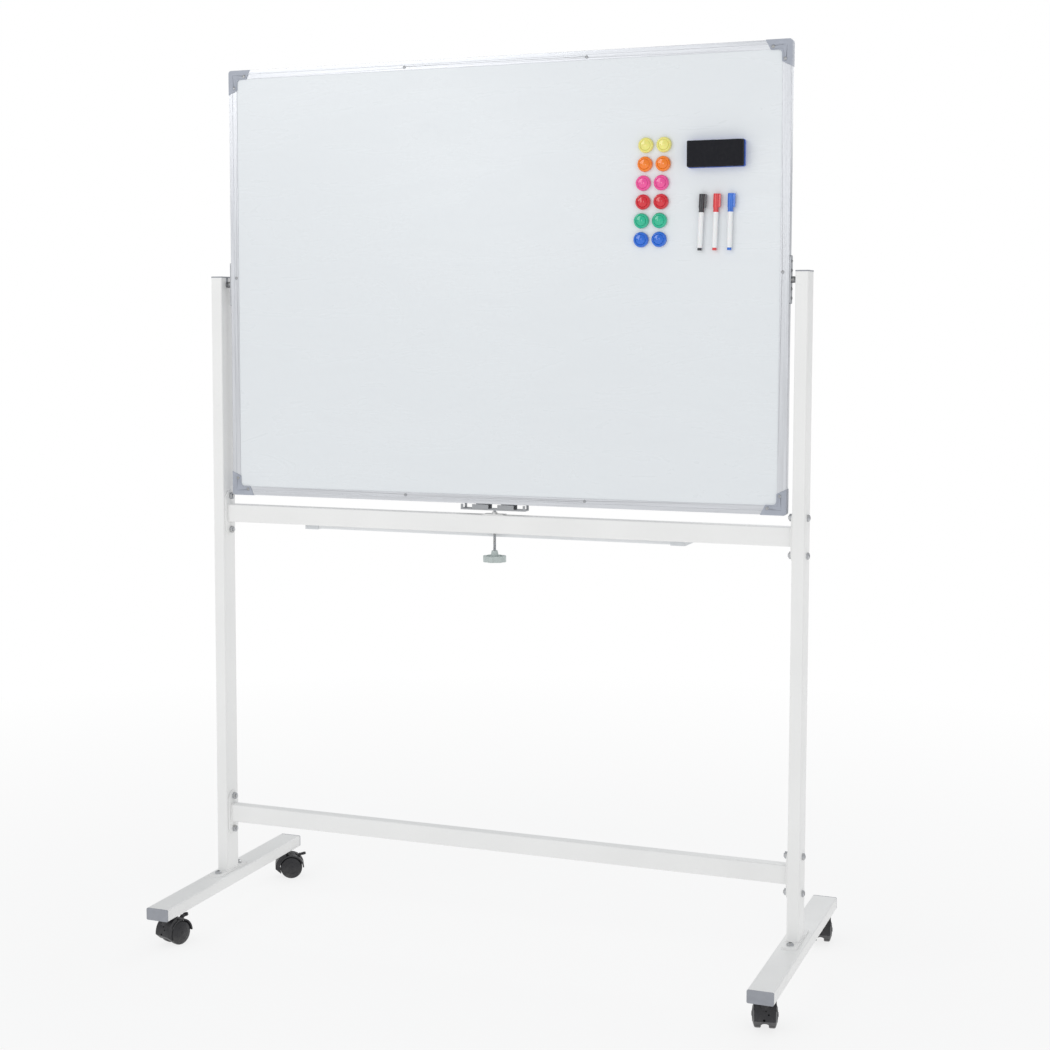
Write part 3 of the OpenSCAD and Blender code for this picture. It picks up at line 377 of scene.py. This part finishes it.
EDGE = {
    "corner_caps": 0.00035, "tray": 0.0004, "tray_end_caps": 0.0005, "clamp_channel": 0.0003,
    "clamp_knob": 0.0007, "crossbar_end_plates": 0.0004, "post_base_plates": 0.0005,
    "pivot_plates": 0.0004, "foot_end_caps": 0.0006, "post_top_caps": 0.0005,
    "eraser_body": 0.0016, "top_rail": 0.0003, "bottom_rail": 0.0003, "side_rails": 0.0003,
    "crossbar_nuts": 0.0004, "base_bolts": 0.0003, "crossbar_bolts": 0.0003, "clamp_bush": 0.0003,
    "marker_barrels": 0.0006, "black_marker_cap": 0.0004, "red_marker_cap": 0.0004,
    "blue_marker_cap": 0.0004, "left_foot": 0.0003, "right_foot": 0.0003,
}
for q in ("front_left", "back_left", "front_right", "back_right"):
    EDGE[q + "_hood"] = 0.0006
    EDGE[q + "_brake"] = 0.0005
for name, width in EDGE.items():
    ob = NODES[name]
    w = ob.modifiers.new("weld", "WELD")
    w.merge_threshold = 0.000002
    b = ob.modifiers.new("edges", "BEVEL")
    b.width = width
    b.segments = 2
    b.limit_method = "ANGLE"
    b.angle_limit = math.radians(38)
    b.miter_outer = "MITER_ARC"
    b.use_clamp_overlap = True
    n = ob.modifiers.new("normals", "WEIGHTED_NORMAL")
    n.keep_sharp = False
    n.weight = 90

# ---------------------------------------------------------------- new pieces


def piece(name, verts, faces, body, slot, mat=None):
    """A smooth-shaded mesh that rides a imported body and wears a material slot."""
    me = bpy.data.meshes.new(name)
    me.from_pydata([tuple(v) for v in verts], [], faces)
    me.update()
    me.polygons.foreach_set("use_smooth", [True] * len(me.polygons))
    bm = bmesh.new()
    bm.from_mesh(me)
    bmesh.ops.recalc_face_normals(bm, faces=bm.faces)
    bm.to_mesh(me)
    bm.free()
    ob = bpy.data.objects.new(name, me)
    bpy.context.scene.collection.objects.link(ob)
    me.materials.append(mat or M[slot])
    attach(ob, body)
    return ob


def closed_tube(path, radius_at, sides=10):
    """A closed bead along a loop of (point, outward) pairs lying in a plane with the given normal."""
    verts, faces = [], []
    n = len(path)
    for i, (p, out, axis) in enumerate(path):
        r = radius_at(i / n)
        for k in range(sides):
            a = 2 * math.pi * k / sides
            verts.append(p + out * (r * math.cos(a)) + axis * (r * math.sin(a)))
    for i in range(n):
        j = (i + 1) % n
        for k in range(sides):
            m = (k + 1) % sides
            faces.append((i * sides + k, i * sides + m, j * sides + m, j * sides + k))
    return verts, faces


def loop_around(w, h, r, step):
    """Points and outward directions round a rounded rectangle, evenly spaced."""
    pts = []
    corners = ((w / 2 - r, h / 2 - r, 0), (-w / 2 + r, h / 2 - r, 90),
               (-w / 2 + r, -h / 2 + r, 180), (w / 2 - r, -h / 2 + r, 270))
    for cx, cy, a0 in corners:
        for k in range(7):
            a = math.radians(a0 + 15 * k)
            pts.append((cx + r * math.cos(a), cy + r * math.sin(a), math.cos(a), math.sin(a)))
    out = []
    for i, p in enumerate(pts):
        q = pts[(i + 1) % len(pts)]
        d = math.hypot(q[0] - p[0], q[1] - p[1])
        n = max(1, round(d / step))
        for k in range(n):
            t = k / n
            out.append(tuple(p[j] * (1 - t) + q[j] * t for j in range(4)))
    return out


def weld_bead(name, centre, u, v, axis, w, h, seed):
    """A ripple of weld metal where a tube meets a plate."""
    ring = loop_around(w, h, 0.003, 0.0006)
    path = []
    for x, y, ox, oy in ring:
        out = (u * ox + v * oy).normalized()
        path.append((centre + u * x + v * y + out * 0.0002, out, axis))
    length = 2 * (w + h)

    def radius(t):
        s = t * length
        ripple = abs(math.sin(math.pi * s / 0.0021))
        wander = noise.noise(Vector((s * 90, seed, 0.0)))
        return 0.00135 + 0.00022 * ripple + 0.00025 * wander

    verts, faces = closed_tube(path, radius)
    return piece(name, verts, faces, "stand", "white_powder_coat", M["white_powder_coat"])


X, Y, Z = Vector((1, 0, 0)), Vector((0, 1, 0)), Vector((0, 0, 1))
for bar in ("upper_crossbar", "lower_crossbar"):
    lo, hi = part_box(bar)
    mid = (lo + hi) / 2
    for side, x in (("left", lo.x), ("right", hi.x)):
        inward = X if side == "left" else -X
        c = Vector((x, mid.y, mid.z)) + inward * 0.0010
        weld_bead(f"{bar}_weld_{side}", c, Y, Z, X, hi.y - lo.y, hi.z - lo.z, len(bar) + x)
for side in ("left", "right"):
    lo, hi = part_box(side + "_post")
    c = Vector(((lo.x + hi.x) / 2, (lo.y + hi.y) / 2, lo.z + 0.0010))
    weld_bead(f"{side}_post_weld", c, X, Y, Z, hi.x - lo.x, hi.y - lo.y, lo.x)


def clamp_thread():
    """The clamp screw with its rolled thread, plain neck and riveted head."""
    lo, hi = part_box("clamp_screw")
    c = (lo + hi) / 2
    web_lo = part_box("clamp_channel")[0]
    r_out, r_root, pitch, sides = 0.003, 0.00248, 0.001, 28
    top = web_lo.z - 0.0013
    verts, faces = [], []
    rows = []
    z = lo.z
    while z < top:
        rows.append(z)
        z += pitch / 6
    rows.append(top)
    for z in rows:
        for k in range(sides):
            a = 2 * math.pi * k / sides
            phase = ((z - lo.z) / pitch - k / sides) % 1.0
            lift = 1 - abs(2 * phase - 1)
            threaded = z < top - 0.002
            r = r_root + (r_out - r_root) * min(1, max(0, 1.5 * lift - 0.15)) if threaded else 0.0027
            verts.append((c.x + r * math.cos(a), c.y + r * math.sin(a), z))
    profile = [(0.002, top), (0.002, hi.z - 0.0012), (0.0042, hi.z - 0.0012),
               (0.0042, hi.z - 0.0005), (0.0034, hi.z - 0.0001), (0.0016, hi.z)]
    for r, z in profile:
        for k in range(sides):
            a = 2 * math.pi * k / sides
            verts.append((c.x + r * math.cos(a), c.y + r * math.sin(a), z))
    total = len(rows) + len(profile)
    for i in range(total - 1):
        for k in range(sides):
            m = (k + 1) % sides
            faces.append((i * sides + k, i * sides + m, (i + 1) * sides + m, (i + 1) * sides + k))
    faces.append(tuple(range(sides))[::-1])
    faces.append(tuple((total - 1) * sides + k for k in range(sides)))
    ob = piece("clamp_screw_thread", verts, faces, "clamp_screw_and_knob", "clamp_rod_zinc")
    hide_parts("clamp_screw")
    sm = ob.modifiers.new("edge", "EDGE_SPLIT")
    sm.split_angle = math.radians(50)
    return ob


clamp_thread()


def eraser_pad():
    """The felt pad: layered felt under a crowned face, rounded where the hand has worn it."""
    lo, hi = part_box("eraser_felt")
    c = (lo + hi) / 2
    sx, sy, sz = (hi.x - lo.x) / 2, (hi.y - lo.y) / 2, (hi.z - lo.z) / 2
    nx, nz, ny = 76, 38, 22
    verts, faces, index = [], [], {}

    def point(i, j, k):
        key = (i, j, k)
        if key in index:
            return index[key]
        u, v, w = 2 * i / nx - 1, 2 * j / ny - 1, 2 * k / nz - 1
        # v = -1 is the free face, +1 lies on the plastic back
        r = 0.0030 if v < 0.9 else 0.0012
        x, z, y = u * sx, w * sz, v * sy
        ix, iz = max(0, abs(x) - (sx - r)), max(0, abs(z) - (sz - r))
        d = math.hypot(ix, iz)
        if d > r:
            x = math.copysign(sx - r + ix * r / d, x)
            z = math.copysign(sz - r + iz * r / d, z)
        edge = min(1.0, (1 - max(abs(u) * 0.999, 0)) * sx / 0.006)
        edge2 = min(1.0, (1 - abs(w)) * sz / 0.006)
        crown = 1 - (1 - min(edge, 1)) ** 2
        crown2 = 1 - (1 - min(edge2, 1)) ** 2
        if v < 0:
            y += 0.0022 * (1 - crown * crown2) * (-v)
        on_side = abs(u) > 0.999 or abs(w) > 0.999
        if on_side:
            layer = abs(math.sin(math.pi * (y + sy) / 0.0035))
            rag = noise.noise(Vector((x * 120, y * 120, z * 120)))
            pull = 0.00055 * (1 - layer) + 0.0006 * (0.5 + 0.5 * rag)
            if abs(u) > 0.999:
                x -= math.copysign(pull, x)
            if abs(w) > 0.999:
                z -= math.copysign(pull, z)
        fuzz = noise.noise(Vector((x * 260, y * 260, z * 260))) * 0.00025
        if v < -0.999:
            y += 0.0003 + abs(fuzz) + 0.0004 * (0.5 + 0.5 * noise.noise(Vector((x * 45, 3.1, z * 45))))
        verts.append((c.x + x, c.y + y, c.z + z))
        index[key] = len(verts) - 1
        return index[key]

    def quad(a, b, cc, d):
        faces.append((point(*a), point(*b), point(*cc), point(*d)))

    for i in range(nx):
        for k in range(nz):
            quad((i, 0, k), (i + 1, 0, k), (i + 1, 0, k + 1), (i, 0, k + 1))
            quad((i, ny, k), (i, ny, k + 1), (i + 1, ny, k + 1), (i + 1, ny, k))
    for i in range(nx):
        for j in range(ny):
            quad((i, j, 0), (i, j + 1, 0), (i + 1, j + 1, 0), (i + 1, j, 0))
            quad((i, j, nz), (i + 1, j, nz), (i + 1, j + 1, nz), (i, j + 1, nz))
    for k in range(nz):
        for j in range(ny):
            quad((0, j, k), (0, j, k + 1), (0, j + 1, k + 1), (0, j + 1, k))
            quad((nx, j, k), (nx, j + 1, k), (nx, j + 1, k + 1), (nx, j, k + 1))
    ob = piece("eraser_felt_pad", verts, faces, "board", "eraser_felt")
    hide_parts("eraser_felt")
    return ob


eraser_pad()


def magnet_crown(node, side, x, z, face_y):
    """The shallow crown in the middle of a magnet's cap, with a fine moulded step round it."""
    slot = SLOT_OF[node]
    rise, sink, seg = 0.0013, 0.0002, 48
    prof = [(0.0098, sink), (0.0096, -0.00025), (0.0091, -0.0003)]
    for i in range(1, 9):
        t = i / 8
        prof.append((0.0091 * (1 - t) + 0.00002 * t, -0.0003 - rise * (1 - (1 - t) ** 2)))
    verts, faces = [], []
    for r, d in prof:
        for k in range(seg):
            a = 2 * math.pi * k / seg
            verts.append((x + r * math.cos(a), face_y + d, z + r * math.sin(a)))
    for i in range(len(prof) - 1):
        for k in range(seg):
            m = (k + 1) % seg
            faces.append((i * seg + k, i * seg + m, (i + 1) * seg + m, (i + 1) * seg + k))
    faces.append(tuple((len(prof) - 1) * seg + k for k in range(seg)))
    faces.append(tuple(range(seg))[::-1])
    piece(f"{node}_{side}_crown", verts, faces, "board", slot)


for node in ("yellow", "orange", "pink", "red", "green", "blue"):
    node += "_magnets"
    lo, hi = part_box(node)
    radius = (hi.z - lo.z) / 2
    thick = hi.y - lo.y
    for side, x in (("left", lo.x + radius), ("right", hi.x - radius)):
        magnet_crown(node, side, x, (lo.z + hi.z) / 2, lo.y + thick * 0.12)


# The brake lever's two bends and the reach to its bend, as the part has them
BRAKE_RISE, BRAKE_TIP, BRAKE_BEND = math.radians(46), math.radians(12), 0.014
# Grip ridges: how many, where the first is, their spacing and their half widths
RIDGES, RIDGE_FIRST, RIDGE_PITCH = 4, 0.0052, 0.0023
RIDGE_HALF, LAST_RIDGE_HALF = 0.0036, 0.0030
# Distance from a caster's middle to the crown of a wheel's dome
WHEEL_CROWN = 0.02425
# Radius and height over the crown, along the profile of the ring and of the cap
WHEEL_RING = [(0.0126, -0.0016), (0.0129, -0.00115), (0.0135, -0.00105),
              (0.0141, -0.00135), (0.0144, -0.0021)]
WHEEL_CAP = [(0.0050, -0.0004), (0.0047, 0.0002), (0.0036, 0.0005),
             (0.0018, 0.0006), (0.00001, 0.00062)]
WHEEL_SIDES = 56


def caster_details(q):
    """Grip ridges on the brake lever, and a raised ring and small cap on each wheel's dome."""
    roll, press = JOINT[q + "_roll"], JOINT[q + "_brake_press"]
    ax = Vector(roll["axis"]).normalized()
    fwd = Vector((-ax.y, ax.x, 0))
    hub = Vector(roll["pos_m"])
    pin = Vector(press["pos_m"])
    base = (pin + fwd * (BRAKE_BEND * math.cos(BRAKE_RISE))
            + Z * (BRAKE_BEND * math.sin(BRAKE_RISE)))
    along = fwd * math.cos(BRAKE_TIP) + Z * math.sin(BRAKE_TIP)
    up = ax.cross(along)
    if up.z < 0:
        up = -up
    verts, faces = [], []
    for n in range(RIDGES):
        mid = base + along * (RIDGE_FIRST + n * RIDGE_PITCH) + up * 0.0019
        for s in range(9):
            a = math.pi * s / 8
            off = along * (0.0007 * math.cos(a)) + up * (0.00065 * math.sin(a) + 0.00005)
            half = RIDGE_HALF if n < RIDGES - 1 else LAST_RIDGE_HALF
            for e in (-1, 1):
                verts.append(mid + off + ax * (half * e))
        b = n * 18
        for s in range(8):
            faces.append((b + 2 * s, b + 2 * s + 1, b + 2 * s + 3, b + 2 * s + 2))
        faces.append(tuple(b + 2 * s for s in range(9)))
        faces.append(tuple(b + 2 * s + 1 for s in range(9))[::-1])
    piece(q + "_brake_grip", verts, faces, q + "_brake_lever", "brake_nylon")

    # a raised ring and a small cap on the outer face of both wheels
    for side, s in (("left", -1), ("right", 1)):
        for part, pr in (("ring", WHEEL_RING), ("cap", WHEEL_CAP)):
            verts, faces = [], []
            seg = WHEEL_SIDES
            for r, h in pr:
                for k in range(seg):
                    a = 2 * math.pi * k / seg
                    spoke = fwd * (r * math.cos(a)) + Z * (r * math.sin(a))
                    verts.append(hub + spoke + ax * (s * (WHEEL_CROWN + h)))
            for i in range(len(pr) - 1):
                for k in range(seg):
                    m = (k + 1) % seg
                    faces.append((i * seg + k, i * seg + m, (i + 1) * seg + m, (i + 1) * seg + k))
            piece(f"{q}_{side}_wheel_{part}", verts, faces, q + "_wheel_pair", "wheel_nylon")


for q in ("front_left", "back_left", "front_right", "back_right"):
    caster_details(q)

# ---------------------------------------------------------------- floor, light and world


def stage_floor():
    me = bpy.data.meshes.new("floor")
    bm = bmesh.new()
    bmesh.ops.create_circle(bm, cap_ends=True, segments=96, radius=60)
    bm.to_mesh(me)
    bm.free()
    ob = bpy.data.objects.new("floor", me)
    bpy.context.scene.collection.objects.link(ob)
    g = Graph("floor")
    g.bsdf.inputs["Base Color"].default_value = (0.86, 0.86, 0.86, 1)
    g.bsdf.inputs["Roughness"].default_value = 0.9
    g.bsdf.inputs["Specular IOR Level"].default_value = 0.1
    glow = g.node("ShaderNodeEmission")
    glow.inputs["Strength"].default_value = 1.0
    mix = g.node("ShaderNodeMixShader")
    length = g.node("ShaderNodeVectorMath", operation="LENGTH")
    g.link(g.coord, length.inputs[0])
    fade = g.range(length.outputs["Value"], 0.9, 3.0, 0.8, 1.0)
    g.link(fade, mix.inputs[0])
    g.link(g.bsdf.outputs[0], mix.inputs[1])
    g.link(glow.outputs[0], mix.inputs[2])
    g.link(mix.outputs[0], g.out.inputs[0])
    me.materials.append(g.mat)


stage_floor()


def area(name, pos, target, size, power):
    light = bpy.data.lights.new(name, "AREA")
    light.energy = power
    light.shape = "RECTANGLE"
    light.size = light.size_y = size
    ob = bpy.data.objects.new(name, light)
    ob.location = pos
    ob.rotation_euler = (Vector(target) - Vector(pos)).to_track_quat("-Z", "Y").to_euler()
    bpy.context.scene.collection.objects.link(ob)
    return ob


area("key", (-2.6, -4.2, 3.4), (0, 0, 1.0), 2.2, 38)
area("fill", (3.6, -3.0, 2.2), (0, 0, 0.9), 2.4, 14)
area("back", (0.5, 4.2, 3.2), (0, 0, 1.0), 2.6, 36)
area("softbox_left", (-1.30, -3.3, 1.80), (0.3, 0, 1.50), 0.5, 2.2)
area("softbox_right", (-0.20, -3.5, 1.80), (0.3, 0, 1.50), 0.5, 2.2)

world = bpy.data.worlds.new("world")
world.use_nodes = True
nt = world.node_tree
nt.nodes.clear()
out = nt.nodes.new("ShaderNodeOutputWorld")
seen = nt.nodes.new("ShaderNodeBackground")
seen.inputs[0].default_value = (1, 1, 1, 1)
seen.inputs[1].default_value = 1.0
lit = nt.nodes.new("ShaderNodeBackground")
lit.inputs[0].default_value = (0.97, 0.985, 1.0, 1)
lit.inputs[1].default_value = 0.62
mixer = nt.nodes.new("ShaderNodeMixShader")
path = nt.nodes.new("ShaderNodeLightPath")
nt.links.new(path.outputs["Is Camera Ray"], mixer.inputs[0])
nt.links.new(lit.outputs[0], mixer.inputs[1])
nt.links.new(seen.outputs[0], mixer.inputs[2])
nt.links.new(mixer.outputs[0], out.inputs[0])
bpy.context.scene.world = world
bpy.context.scene.view_settings.view_transform = "Standard"
